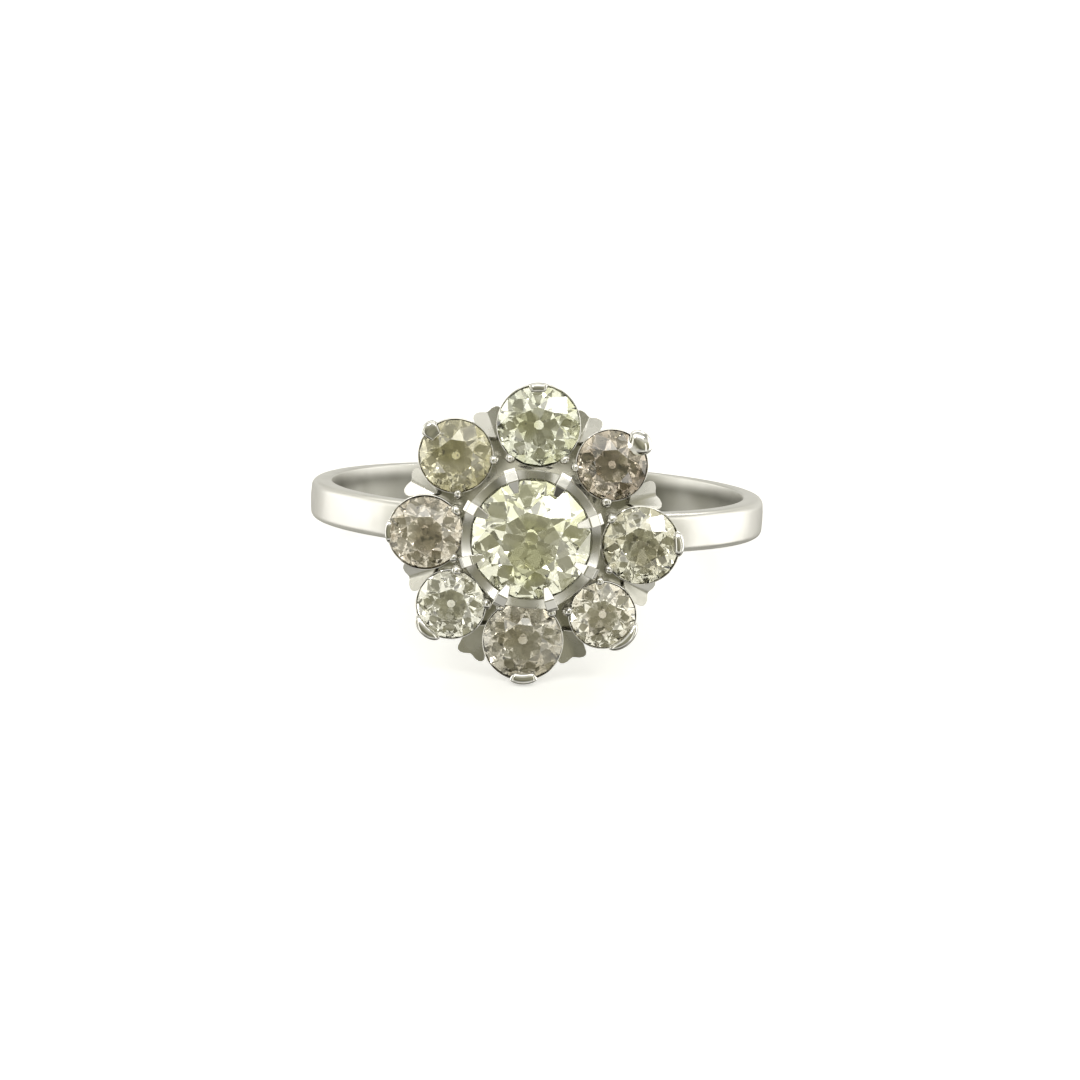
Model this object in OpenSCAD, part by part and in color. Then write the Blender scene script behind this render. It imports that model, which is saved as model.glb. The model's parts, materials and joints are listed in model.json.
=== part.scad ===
// Cluster ring: eight old-cut stones round a raised centre stone, on a plain polished shank.
// All lengths are in millimetres.

/* [Shank] */
// Inside diameter of the shank, which is the finger size
finger_d = 17.3; // [16:0.1:20]
// Thickness of the shank
band_t = 0.85; // [0.7:0.05:1.2]
// Width of the shank at the back and the sides
band_w = 1.6; // [1.2:0.05:1.8]
// Radius of the soft outer edges of the shank
band_edge = 0.3; // [0.1:0.02:0.4]
// Bevel on the inner edges of the shank
band_bevel = 0.08; // [0.04:0.01:0.15]
// Width of the shank where it meets the head
shoulder_w = 1.65; // [1.5:0.05:2.6]
// How far a shoulder runs out from the gallery ring along the shank
shoulder_run = 3.2; // [2.4:0.1:3.8]

/* [Stones] */
// Diameter of the centre stone
centre_d = 4.76; // [4.2:0.02:5.2]
// Diameter of a middling outer stone
outer_d = 2.95; // [2.6:0.05:3.3]
// Thickness of every stone at its girdle
girdle_t = 0.07; // [0.04:0.01:0.12]
// Table width as a share of the stone's diameter
table_share = 0.5; // [0.4:0.01:0.6]
// Crown height as a share of the stone's diameter
crown_share = 0.16; // [0.12:0.01:0.19]
// Pavilion depth as a share of the stone's diameter
pavilion_share = 0.43; // [0.38:0.01:0.46]
// Width of the open culet as a share of the stone's diameter
culet_share = 0.12; // [0.06:0.01:0.16]

/* [Head] */
// Metal between two middling outer stones
between = 0.38; // [0.34:0.02:0.6]
// Metal between the centre stone and a middling outer stone, seen from the front
around_centre = 0.5; // [0.44:0.02:0.8]
// Gap between a stone and the metal that holds it
stone_gap = 0.03; // [0.02:0.01:0.05]
// Space between the finger and the tips of the outer stones
outer_lift = 0.85; // [0.7:0.05:1.4]
// Rise of the centre stone's girdle above the outer girdles
centre_rise = 1; // [0.9:0.05:1.5]
// Gap between the finger and the gallery ring
head_relief = 0.12; // [0.08:0.02:0.3]
// Height of the gallery ring
gallery_h = 0.62; // [0.5:0.02:0.9]
// Wall of the gallery ring
gallery_t = 0.6; // [0.5:0.05:0.9]
// Wall of the centre collet
collet_t = 0.4; // [0.32:0.02:0.5]
// Wall of an outer cup
cup_t = 0.22; // [0.18:0.01:0.3]
// How far a cup's rim stands out past its stone
cup_lip = 0.09; // [0.07:0.01:0.14]

/* [Claws] */
// Width of a centre claw
claw_w = 0.5; // [0.4:0.02:0.6]
// How far a centre claw reaches over its stone
claw_reach = 0.42; // [0.3:0.02:0.6]
// Height of a centre claw's head above the girdle
claw_rise = 0.64; // [0.56:0.02:0.8]
// Width of the widest crescent claw at the edge of the flower
hook_w = 1.05; // [0.8:0.05:1.3]
// Thickness of a crescent claw
hook_t = 0.11; // [0.08:0.01:0.2]
// How far a crescent claw reaches in over its stone
hook_reach = 0.28; // [0.2:0.02:0.34]
// Height of a crescent claw above the girdle
hook_rise = 0.38; // [0.3:0.02:0.46]
// How far a crescent claw runs down its cup below the girdle
hook_root = 0.5; // [0.4:0.05:0.8]
// Diameter of a bead claw
bead_d = 0.38; // [0.3:0.02:0.42]
// Length of a forked rib's head, from its inner point to its lobes
rib_l = 1.2; // [1:0.05:1.4]
// Width of a forked rib across its two lobes
rib_w = 1.2; // [1:0.05:1.3]
// How far the ribs' heads lie below the outer girdles
rib_drop = 0.14; // [0.1:0.01:0.4]
// Depth of the groove between a forked rib's two lobes
rib_groove = 0.17; // [0.1:0.01:0.25]
// How far a forked rib's head falls towards the edge of the flower
rib_fall = 0.25; // [0.1:0.01:0.35]

/* [Hidden] */
$fn = 64;
eps = 0.02;

// One row for each outer stone, seen from the front with the finger's axis upright, clockwise.
// place: degrees round the head, counted up from the right; reach and size: shares of the middling
// ones; oval: width across over length out from the middle; turn: how far its facets are turned;
// hook and hook_share: its crescent claw's offset in degrees and share of the full width
PLACE = 1;
REACH = 2;
SIZE = 3;
OVAL = 4;
TURN = 5;
HOOK = 6;
HOOK_SHARE = 7;
TINT = 8;
OUTER = [
    ["stone_top", 89, 1.02, 1.1, 1.05, 6, 4, 0.7, "#dfe3cf"],
    ["stone_upper_right", 44.5, 0.985, 0.945, 1.02, 30, -3, 0.75, "#9a8d7b"],
    ["stone_right", -2, 1.0, 1.03, 1.05, 12, 8, 0.85, "#a9a493"],
    ["stone_lower_right", -45.5, 0.97, 0.89, 0.98, 38, 2, 1, "#cdc8b6"],
    ["stone_bottom", -92.3, 0.965, 1.06, 1.05, 20, 6, 1, "#a39c8a"],
    ["stone_lower_left", -137.2, 0.97, 0.92, 1.01, 2, 5, 0.95, "#b1aea0"],
    ["stone_left", -179.7, 0.975, 0.99, 0.96, 26, 0, 0.8, "#b3a995"],
    ["stone_upper_left", -224.3, 1.015, 0.985, 1, 16, 0, 0.85, "#a89d7c"]
];
metal = "#dcdad2";

// Shank
finger_r = finger_d / 2;
band_r = finger_r + band_t;

// Where the stones sit, measured out from the finger's axis and from the middle of the head
count = len(OUTER);
pitch = 360 / count;
reach = max((outer_d + between) / (2 * sin(pitch / 2)), (centre_d + outer_d) / 2 + around_centre);
outer_z = finger_r + outer_lift + pavilion_share * outer_d;
culet_clear = 0.24 * band_t;
centre_z = max(outer_z + centre_rise, band_r + culet_clear + pavilion_share * centre_d);

function row_d(row) = outer_d * row[SIZE];
function row_x(row) = reach * row[REACH] * cos(row[PLACE]);
function row_y(row) = reach * row[REACH] * sin(row[PLACE]);
function row_of(name) = OUTER[search([name], OUTER)[0]];
// Where the line between an outer stone and the next one clockwise lies
function between_place(i) =
    (OUTER[i][PLACE] + (i + 1 < count ? OUTER[i + 1][PLACE] : OUTER[0][PLACE] - 360)) / 2;

// Head
gallery_r = reach - gallery_t;
gallery_low = finger_r - gallery_h / 2;
gallery_top = gallery_low + gallery_h * 1.3;
gallery_flare = gallery_h * 0.13;
relief_r = finger_r + head_relief;

// Centre collet: an open cone whose rim stands a little above the girdle
collet_rise = 0.72 * around_centre;
collet_top_r = centre_d / 2 + 1.1 * around_centre;
collet_low_r = collet_top_r * 0.66;
collet_edge = 0.2 * collet_t;
collet_low = band_r - 0.3 * band_t;
collet_high = centre_z + collet_rise;
function collet_r(z) = collet_low_r
    + (collet_top_r - collet_low_r) * (z - collet_low) / (collet_high - collet_low);

// The claws of the centre stone stand a little off the lines between the outer stones
claw_turn = -3;
claw_place = pitch / 2 + claw_turn;
scallop_in = 0.61 * centre_d / 2;
scallop_out = 0.57 * centre_d / 2;
scallop_rise = 0.56 * centre_d / 2;

// Crescent claw, as points of its cross-section: out from the cup's axis, up from the girdle
function hook_outline(g) = [
    [g - cup_lip, -hook_root],
    [g + cup_lip * 0.8, -hook_root],
    [g + cup_lip + hook_t * 0.75, -hook_rise * 0.26],
    [g + cup_lip + hook_t, hook_rise * 0.26],
    [g + cup_lip + hook_t * 0.75, hook_rise * 0.68],
    [g + cup_lip * 0.5, hook_rise * 0.96],
    [g - hook_reach * 0.43, hook_rise],
    [g - hook_reach * 0.86, hook_rise * 0.82],
    [g - hook_reach, hook_rise * 0.32]
];

// Cross-section of the shank as a flat-sided ring with soft outer edges: out from the finger's
// axis, then along it
edge_steps = 4;
function edge_arc(side) = [
    for (i = [0 : edge_steps])
        let (a = 90 * i / edge_steps)
        [
            band_r - band_edge + band_edge * (side > 0 ? sin(a) : cos(a)),
            side * (band_w / 2 - band_edge + band_edge * (side > 0 ? cos(a) : sin(a)))
        ]
];
band_outline = concat(
    [[finger_r, -band_w / 2 + band_bevel], [finger_r, band_w / 2 - band_bevel],
     [finger_r + band_bevel, band_w / 2]],
    edge_arc(1),
    edge_arc(-1),
    [[finger_r + band_bevel, -band_w / 2]]
);

// The ring lies on its side: it rests on the back of the shank and on the lowest crescent claw.
// The slope of the line under both is the tilt.
low_row = row_of("stone_bottom");
low_claw = [
    for (p = hook_outline(row_d(low_row) / 2))
        [outer_z + p[1], p[0] - row_y(low_row)]
];
rest_slope = max([
    for (claw = low_claw)
        min([for (p = band_outline) (claw[1] + p[1]) / (claw[0] + p[0])])
]);
tilt = atan(rest_slope);

// Old cut stone: table, crown mains, stars and halves, girdle, pavilion mains and halves, open culet.
// All heights are from the middle of the girdle.
MAINS = 8;
HALVES = 2 * MAINS;
step = 360 / MAINS;
function ring_of(n, r, z, first, oval) = [
    for (i = [0 : n - 1])
        let (a = first + i * 360 / n)
        [r * cos(a) / sqrt(oval), r * sin(a) * sqrt(oval), z]
];
// Height above the girdle's edge of a main facet's plane, at radius r and half a step off its middle
function facet_rise(r, edge_r, rise, run) = (edge_r - r * cos(step / 2)) * rise / run;
function stone_points(d, turn, oval) =
    let (
        g = d / 2,
        half_g = girdle_t / 2,
        table_r = g * table_share,
        crown = d * crown_share,
        mid_r = (table_r + g) / 2 * 1.02,
        culet_r = g * culet_share,
        deep_r = g * 0.42,
        depth = d * pavilion_share - half_g
    )
    concat(
        ring_of(MAINS, table_r, half_g + crown, turn, oval),
        ring_of(MAINS, mid_r, half_g + facet_rise(mid_r, g, crown, g - table_r), turn + step / 2, oval),
        ring_of(HALVES, g, half_g, turn, oval),
        ring_of(HALVES, g, -half_g, turn, oval),
        ring_of(MAINS, deep_r, -half_g - facet_rise(deep_r, g, depth, g), turn + step / 2, oval),
        ring_of(MAINS, culet_r, -half_g - facet_rise(culet_r, g, depth, g), turn + step / 2, oval)
    );
TABLE_AT = 0;
MID_AT = MAINS;
TOP_AT = 2 * MAINS;
UNDER_AT = TOP_AT + HALVES;
DEEP_AT = UNDER_AT + HALVES;
CULET_AT = DEEP_AT + MAINS;
function m(at, i) = at + (i + MAINS) % MAINS;
function h(at, i) = at + (i + HALVES) % HALVES;
stone_faces = concat(
    [[for (i = [MAINS - 1 : -1 : 0]) m(TABLE_AT, i)]],
    [for (i = [0 : MAINS - 1]) [m(TABLE_AT, i), m(TABLE_AT, i + 1), m(MID_AT, i)]],
    [for (i = [0 : MAINS - 1]) [m(TABLE_AT, i), m(MID_AT, i), h(TOP_AT, 2 * i), m(MID_AT, i - 1)]],
    [for (i = [0 : MAINS - 1]) [m(MID_AT, i), h(TOP_AT, 2 * i + 1), h(TOP_AT, 2 * i)]],
    [for (i = [0 : MAINS - 1]) [m(MID_AT, i), h(TOP_AT, 2 * i + 2), h(TOP_AT, 2 * i + 1)]],
    [
        for (i = [0 : HALVES - 1])
            [h(TOP_AT, i), h(TOP_AT, i + 1), h(UNDER_AT, i + 1), h(UNDER_AT, i)]
    ],
    [for (i = [0 : MAINS - 1]) [m(DEEP_AT, i), h(UNDER_AT, 2 * i), h(UNDER_AT, 2 * i + 1)]],
    [for (i = [0 : MAINS - 1]) [m(DEEP_AT, i), h(UNDER_AT, 2 * i + 1), h(UNDER_AT, 2 * i + 2)]],
    [
        for (i = [0 : MAINS - 1])
            [
                h(UNDER_AT, 2 * i), m(DEEP_AT, i), m(CULET_AT, i),
                m(CULET_AT, i - 1), m(DEEP_AT, i - 1)
            ]
    ],
    [[for (i = [0 : MAINS - 1]) m(CULET_AT, i)]]
);
module cut_stone(d, turn, oval) {
    polyhedron(points = stone_points(d, turn, oval), faces = stone_faces, convexity = 2);
}

// The room that a stone needs, one gap larger all round, as a turned shape
module seat(d, oval) {
    wide = d / 2 * max(sqrt(oval), 1 / sqrt(oval)) + stone_gap;
    half_g = girdle_t / 2 + stone_gap;
    rotate_extrude()
        polygon([
            [0, -d * pavilion_share - 2 * stone_gap],
            [wide * culet_share, -d * pavilion_share - 2 * stone_gap],
            [wide, -half_g],
            [wide, half_g],
            [wide * table_share + stone_gap, half_g + d * crown_share],
            [0, half_g + d * crown_share]
        ]);
}

// Places a child at the front of the ring, facing out, with its own Z pointing away from the finger
module on_head() {
    rotate([90, 0, 0]) children();
}
module at_centre() {
    translate([0, 0, centre_z]) children();
}
module at_row(row) {
    translate([row_x(row), row_y(row), outer_z]) rotate([0, 0, row[PLACE]]) children();
}
module lying() {
    rotate([-tilt, 0, 0]) children();
}

module band() {
    rotate_extrude() polygon(band_outline);
}

// Two shoulders that widen and rise from the shank to the gallery ring
shoulder_sink = 0.07 * band_t;
module shoulders() {
    x_in = gallery_r - gallery_t;
    x_out = gallery_r + shoulder_run;
    y_out = sqrt(band_r * band_r - x_out * x_out) - shoulder_sink;
    difference() {
        for (side = [-1, 1])
            intersection() {
                linear_extrude(height = shoulder_w, center = true)
                    polygon([
                        [side * x_in, 0], [side * x_out, 0], [side * x_out, -y_out],
                        [side * x_in, -gallery_top + 2 * shoulder_sink]
                    ]);
                rotate([90, 0, 0])
                    linear_extrude(height = gallery_top)
                        polygon([
                            [side * x_out, -band_w / 2 + band_edge], [side * x_out, band_w / 2 - band_edge],
                            [side * x_in, shoulder_w / 2], [side * x_in, -shoulder_w / 2]
                        ]);
            }
        cylinder(r = finger_r, h = 2 * shoulder_w, center = true);
    }
}

module gallery_ring() {
    rotate_extrude()
        polygon([
            [gallery_r - gallery_t / 2, gallery_low],
            [gallery_r + gallery_t / 2, gallery_low],
            [gallery_r + gallery_t / 2 + gallery_flare, gallery_top],
            [gallery_r - gallery_t / 2 + gallery_flare, gallery_top]
        ]);
}

// Centre collet with its rim turned up, ready for the scallops
module collet() {
    rotate_extrude()
        polygon([
            [collet_r(collet_low) - collet_t, collet_low],
            [collet_r(collet_low), collet_low],
            [collet_r(collet_high - collet_edge), collet_high - collet_edge],
            [collet_top_r - collet_edge, collet_high],
            [collet_top_r - 1.3 * collet_t, collet_high],
            [collet_top_r - 1.5 * collet_t, centre_z - around_centre]
        ]);
}
module scallops() {
    for (i = [0 : count - 1])
        rotate([0, 0, claw_place + pitch / 2 + i * pitch])
            translate([centre_d / 2 - around_centre, 0, centre_z + scallop_rise])
                rotate([0, 90, 0])
                    cylinder(r1 = scallop_in, r2 = scallop_out, h = 2.6 * around_centre);
}
// One centre claw: a bar up the collet's wall whose head slopes down over the stone to a blunt tip
module centre_claw() {
    g = centre_d / 2;
    root = 1.25 * claw_rise;
    proud = 0.08 * claw_w;
    tip_w = 0.6 * claw_w;
    intersection() {
        rotate([90, 0, 0])
            linear_extrude(height = claw_w, center = true)
                polygon([
                    [g + proud / 2, -root],
                    [collet_r(centre_z - root) + proud, -root],
                    [collet_top_r + proud, claw_rise * 0.47],
                    [collet_top_r - 2 * proud, claw_rise * 0.81],
                    [g + 2 * proud, claw_rise],
                    [g - claw_reach, claw_rise * 0.5],
                    [g - claw_reach, claw_rise * 0.16]
                ]);
        translate([0, 0, -2 * root])
            linear_extrude(height = 4 * root)
                polygon([
                    [collet_top_r + 2 * proud, -claw_w / 2], [collet_top_r + 2 * proud, claw_w / 2],
                    [g, claw_w / 2 - eps], [g - claw_reach - eps, tip_w / 2],
                    [g - claw_reach - eps, -tip_w / 2], [g, -claw_w / 2 + eps]
                ]);
    }
}
module centre_claws() {
    for (i = [0 : count - 1])
        rotate([0, 0, claw_place + i * pitch])
            translate([0, 0, centre_z])
                centre_claw();
}

// One outer cup, a thin cone from the gallery ring up to the girdle
cup_low = gallery_top - cup_t - outer_z;
cup_edge = -1.8 * cup_lip;
function cup_r(g, z) = g * 0.5 + (g * 0.5 + cup_lip) * (z - cup_low) / (cup_edge - cup_low);
module cup(row) {
    g = row_d(row) / 2;
    rotate_extrude()
        polygon([
            [cup_r(g, cup_low) - cup_t, cup_low],
            [cup_r(g, cup_low), cup_low],
            [g + cup_lip, cup_edge],
            [g + cup_lip, cup_lip * 0.35],
            [g + cup_lip * 0.8, cup_lip * 0.65],
            [g, cup_lip * 0.65],
            [g - cup_t * 0.35, -cup_t * 1.35]
        ]);
}
module crescent(row) {
    g = row_d(row) / 2;
    sweep = 2 * asin(hook_w * row[HOOK_SHARE] / 2 / (g + cup_lip));
    rotate([0, 0, row[HOOK] - sweep / 2])
        rotate_extrude(angle = sweep)
            polygon(hook_outline(g));
}
// A bead claw on each inner shoulder of a cup: a strip up the cup's wall that ends in a round bead
bead_turn = 40;
module bead_claws(row) {
    g = row_d(row) / 2;
    bead_r = bead_d / 2;
    bead_rise = bead_r * 1.05;
    strip_low = cup_low * 0.75;
    strip_out = g + cup_lip + 0.8 * bead_r;
    sweep = 2 * asin(0.8 * bead_r / g);
    for (side = [-1, 1])
        rotate([0, 0, side * (180 - bead_turn)]) {
            rotate([0, 0, -sweep / 2])
                rotate_extrude(angle = sweep)
                    polygon([
                        [cup_r(g, strip_low) - cup_t * 0.45, strip_low],
                        [cup_r(g, strip_low) + cup_t * 0.25, strip_low],
                        [strip_out, cup_edge],
                        [strip_out, bead_rise],
                        [g - cup_t * 0.45, bead_rise],
                        [g - cup_t * 0.45, 1.6 * cup_edge]
                    ]);
            translate([g + 0.37 * bead_r, 0, bead_rise * 1.15])
                sphere(r = bead_r);
        }
}

// Forked rib between two cups, like a fish's tail whose sides run into the cups' walls: half of its
// outline from above, from the inner tip to a lobe and the notch, as shares of its length and width
RIB_SIDE = [
    [0, 0], [0.17, 0.29], [0.42, 0.42], [0.67, 0.5], [0.88, 0.5], [0.98, 0.4], [0.97, 0.22], [0.86, 0]
];
RIB_NOTCH = len(RIB_SIDE) - 1;
RIB_OUTLINE = concat(
    [for (p = RIB_SIDE) [p[0], -p[1]]],
    [for (i = [RIB_NOTCH - 1 : -1 : 1]) RIB_SIDE[i]]
);
// One row for each level of the rib: share of its rise, where its inner tip starts, share of its size
RIB_LEVELS = [
    [0, 0, 0.34],
    [0.45, 0.2, 0.52],
    [0.82, 0.78, 0.9],
    [1, 1, 1]
];
rib_start = gallery_r - gallery_t * 0.16;
rib_end = reach * cos(pitch / 2) + rib_l * 0.17;
rib_low = gallery_top - gallery_h / 2;
rib_high = outer_z - rib_drop;
// The head is folded down along its middle and falls outwards
function rib_fold(p) = rib_groove * 2 * abs(p[1]) - rib_fall * p[0];
function rib_points() = [
    for (level = RIB_LEVELS)
        for (p = RIB_OUTLINE)
            [
                rib_start + (rib_end - rib_start) * level[1] + p[0] * rib_l * level[2],
                p[1] * rib_w * level[2],
                rib_low + (rib_high - rib_low) * level[0] + (level[0] == 1 ? rib_fold(p) : 0)
            ]
];
// Faces of a loft whose top is two flat leaves, which meet on the line from its first point to fold
function loft_faces(sides, levels, fold) = concat(
    [[for (i = [0 : sides - 1]) i]],
    [
        for (k = [0 : levels - 2])
            for (i = [0 : sides - 1])
                let (next = (i + 1) % sides, a = k * sides, b = (k + 1) * sides)
                [a + i, b + i, b + next]
    ],
    [
        for (k = [0 : levels - 2])
            for (i = [0 : sides - 1])
                let (next = (i + 1) % sides, a = k * sides, b = (k + 1) * sides)
                [a + i, b + next, a + next]
    ],
    [[for (i = [fold : -1 : 0]) (levels - 1) * sides + i]],
    [[for (i = [sides : -1 : fold]) (levels - 1) * sides + i % sides]]
);
module fork_rib() {
    polyhedron(
        points = rib_points(),
        faces = loft_faces(len(RIB_OUTLINE), len(RIB_LEVELS), RIB_NOTCH),
        convexity = 4
    );
}

module ring_mount() {
    color(metal)
        lying() {
            difference() {
                union() {
                    shoulders();
                    difference() {
                        on_head() {
                            gallery_ring();
                            collet();
                            for (row = OUTER) at_row(row) cup(row);
                            for (i = [0 : count - 1])
                                rotate([0, 0, between_place(i)]) fork_rib();
                        }
                        cylinder(r = relief_r, h = 4 * reach, center = true);
                        on_head() scallops();
                    }
                    on_head() {
                        centre_claws();
                        for (row = OUTER)
                            at_row(row) {
                                crescent(row);
                                bead_claws(row);
                            }
                    }
                }
                on_head() {
                    at_centre() seat(centre_d, 1);
                    for (row = OUTER) at_row(row) seat(row_d(row), row[OVAL]);
                }
            }
            band();
        }
}
module centre_stone() {
    color("#dfe2b4")
        lying() on_head() at_centre() cut_stone(centre_d, 10, 1);
}
module outer_stone(name) {
    row = row_of(name);
    color(row[TINT])
        lying() on_head() at_row(row) cut_stone(row_d(row), row[TURN], row[OVAL]);
}

ring_mount();
centre_stone();
outer_stone("stone_top");  // stone_top
outer_stone("stone_upper_right");  // stone_upper_right
outer_stone("stone_right");  // stone_right
outer_stone("stone_lower_right");  // stone_lower_right
outer_stone("stone_bottom");  // stone_bottom
outer_stone("stone_lower_left");  // stone_lower_left
outer_stone("stone_left");  // stone_left
outer_stone("stone_upper_left");  // stone_upper_left
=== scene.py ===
# %% [markdown]
# # A cluster ring in white metal
#
# This lesson dresses one worn jewel: a finger ring whose head is a flower of eight old-cut stones around
# a larger one. On the real ring a goldsmith solders the metal parts into one piece and then sets the
# stones. Here the sizes and places come from a fixed frame that is loaded first, so nothing is fitted by
# eye afterwards.

# %% The frame
import json
import math
import random

import bmesh
import bpy
from mathutils import Matrix, Vector


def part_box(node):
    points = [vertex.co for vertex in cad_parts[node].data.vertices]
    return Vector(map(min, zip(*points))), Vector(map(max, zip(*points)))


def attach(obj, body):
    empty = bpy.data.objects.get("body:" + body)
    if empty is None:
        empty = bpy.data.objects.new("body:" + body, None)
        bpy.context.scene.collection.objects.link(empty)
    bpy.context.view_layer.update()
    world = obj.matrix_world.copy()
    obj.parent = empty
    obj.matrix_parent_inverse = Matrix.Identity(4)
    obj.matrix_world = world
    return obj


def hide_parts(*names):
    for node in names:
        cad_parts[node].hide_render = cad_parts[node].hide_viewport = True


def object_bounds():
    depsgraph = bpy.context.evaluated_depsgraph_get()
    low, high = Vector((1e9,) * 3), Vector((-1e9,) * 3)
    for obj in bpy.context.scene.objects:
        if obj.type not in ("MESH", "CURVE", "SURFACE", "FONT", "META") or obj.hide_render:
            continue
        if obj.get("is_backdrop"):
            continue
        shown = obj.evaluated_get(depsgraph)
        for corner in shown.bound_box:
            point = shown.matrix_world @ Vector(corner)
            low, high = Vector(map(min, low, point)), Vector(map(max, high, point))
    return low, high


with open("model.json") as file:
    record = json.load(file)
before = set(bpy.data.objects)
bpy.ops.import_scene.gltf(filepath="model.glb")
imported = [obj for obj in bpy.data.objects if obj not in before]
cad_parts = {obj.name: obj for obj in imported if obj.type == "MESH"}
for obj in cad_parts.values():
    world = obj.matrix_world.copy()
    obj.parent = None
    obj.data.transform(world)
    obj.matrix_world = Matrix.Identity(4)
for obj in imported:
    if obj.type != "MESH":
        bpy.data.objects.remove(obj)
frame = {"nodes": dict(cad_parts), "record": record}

cad_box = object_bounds()
print("pieces in the frame:", sorted(frame["nodes"]))

# %% [markdown]
# ## Where things are
#
# A jeweller thinks of the ring by its finger hole, and of the head by its own face. The ring lies on its
# side and leans a few degrees, so one could model in floor coordinates and fight with that lean in every
# line. It is simpler to model upright in millimetres and to let one matrix lay each piece down. RING
# carries points whose Z is the finger's axis. HEAD carries points whose Z comes out of the flower.

# %% Two working frames
MM = 0.001
TAU = 2 * math.pi

bore = frame["record"]["mounts"][0]
finger_r = bore["dims"]["r_mm"]
lean = math.atan2(bore["axis"][1], bore["axis"][2])
# Turns a piece whose Z comes out of the flower into the ring's own frame
FACE_ON = Matrix(((1, 0, 0, 0), (0, 0, -1, 0), (0, 1, 0, 0), (0, 0, 0, 1)))
RING = Matrix.Rotation(-lean, 4, "X") @ Matrix.Scale(MM, 4)
HEAD = RING @ FACE_ON
print(f"finger hole {2 * finger_r:.2f} mm across, leaning {math.degrees(lean):.1f} degrees")

# %% [markdown]
# The stones are read from the frame too. Each is measured once in the head's own coordinates: its middle,
# the height of its girdle, which is the widest line, and its radius there. Every cup and claw below is then
# made to the stone that it holds, as a setter does it. A small gap is left all round each stone, so that
# metal and stone never share a surface.

# %% Sizes that all stones share
GIRDLE_T = 0.07
STONE_GAP = 0.03
SEAT_HALF = GIRDLE_T / 2 + STONE_GAP
CROWN_SHARE = 0.16
TABLE_SHARE = 0.5
CROWN_SLOPE = 2 * CROWN_SHARE / (1 - TABLE_SHARE)
print(f"crown: it rises {CROWN_SLOPE:.2f} mm for each mm inwards, up to a table {TABLE_SHARE} of the width")

# %% Measure the stones
# Points further out than this share of the widest one lie on the girdle
GIRDLE_FROM = 0.9


def middle(values):
    """Halfway between the least and the greatest value."""
    values = list(values)
    return (min(values) + max(values)) / 2


class Stone:
    """One stone as the setter measures it, in millimetres in the head's frame."""

    def __init__(self, node):
        out = HEAD.inverted()
        points = [out @ v.co for v in frame["nodes"][node].data.vertices]
        self.node = node
        self.x = middle(p.x for p in points)
        self.y = middle(p.y for p in points)
        away = [(math.hypot(p.x - self.x, p.y - self.y), p.z) for p in points]
        widest = max(r for r, z in away)
        girdle = [(r, z) for r, z in away if r > GIRDLE_FROM * widest]
        self.z = middle(z for r, z in girdle)
        self.r = sum(r for r, z in girdle) / len(girdle)
        self.seat_r = self.r + STONE_GAP
        self.place = math.atan2(self.y, self.x)
        self.reach = math.hypot(self.x, self.y)

    def crown_z(self, r):
        """Height above the girdle of the room that the crown needs, at a distance from the middle."""
        return SEAT_HALF + max(0.0, self.seat_r - r) * CROWN_SLOPE

    def matrix(self):
        """Lays a piece made at the stone's own middle, with +X pointing out of the flower."""
        return HEAD @ Matrix.Translation((self.x, self.y, self.z)) @ Matrix.Rotation(self.place, 4, "Z")


centre = Stone("centre_stone")
outer = [Stone(n) for n in sorted(frame["nodes"]) if n not in ("ring_mount", "centre_stone")]
outer.sort(key=lambda s: -s.place)
for stone in [centre] + outer:
    print(f"{stone.node}: {2 * stone.r:.2f} mm across, {stone.reach:.2f} mm from the middle")

# %% [markdown]
# ## Helpers for the metal
#
# Nearly all of a mount is turned, drawn or filed, and all of that can be told as a row of loops of points.
# The first helper joins neighbouring loops with faces, and the second closes the two ends. A wedge tests
# them: two triangles a millimetre apart have to give five faces and half a cubic millimetre. Some faces may
# point inwards at first, so their normals are made to agree before the wedge is measured.

# %% Loops of points


def join_loops(bm, loops, closed=False):
    """Quads between neighbouring loops of points. Gives back the rows of corners."""
    rows = [[bm.verts.new(p) for p in loop] for loop in loops]
    following = rows[1:] + rows[:1] if closed else rows[1:]
    for a, b in zip(rows, following):
        for k in range(len(a)):
            n = (k + 1) % len(a)
            bm.faces.new((a[k], a[n], b[n], b[k]))
    return rows


def filed(loops):
    """A solid through loops of points, with a flat face at each end."""
    bm = bmesh.new()
    rows = join_loops(bm, loops)
    bm.faces.new(rows[0])
    bm.faces.new(list(reversed(rows[-1])))
    return bm


wedge = filed([[(0, 0, z), (1, 0, z), (0, 1, z)] for z in (0, 1)])
bmesh.ops.recalc_face_normals(wedge, faces=wedge.faces)
print(f"test wedge: {len(wedge.faces)} faces, {wedge.calc_volume():.2f} cubic mm")
wedge.free()

# %% [markdown]
# The third helper turns a closed section about an axis. The section may change on the way, which gives
# scallops, widening shoulders and claws that taper to their ends. A modifier could spin a fixed section,
# but not one that changes. A washer tests it: straight steps lose a little against the true circle.

# %% Turned solids


def turned(section_at, steps, start=0.0, end=TAU):
    """A solid turned about Z. section_at(angle) gives a closed section as (radius, height) points."""
    closed = abs(end - start - TAU) < 1e-9
    loops = []
    for i in range(steps if closed else steps + 1):
        a = start + (end - start) * i / steps
        loops.append([(r * math.cos(a), r * math.sin(a), z) for r, z in section_at(a)])
    if not closed:
        return filed(loops)
    bm = bmesh.new()
    join_loops(bm, loops, closed)
    return bm


washer = turned(lambda a: [(1, 0), (2, 0), (2, 1), (1, 1)], 48)
print(f"test washer: {washer.calc_volume():.3f} cubic mm, and {3 * math.pi:.3f} if it were truly round")
washer.free()

# %% [markdown]
# A finished solid becomes an object in the frame. Real edges are never sharp: polishing rounds them by a
# few hundredths of a millimetre, and that thin light line is what tells the eye that it is metal. A bevel
# modifier does this to every edge steeper than its limit, and keeps the mesh itself simple.

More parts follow.
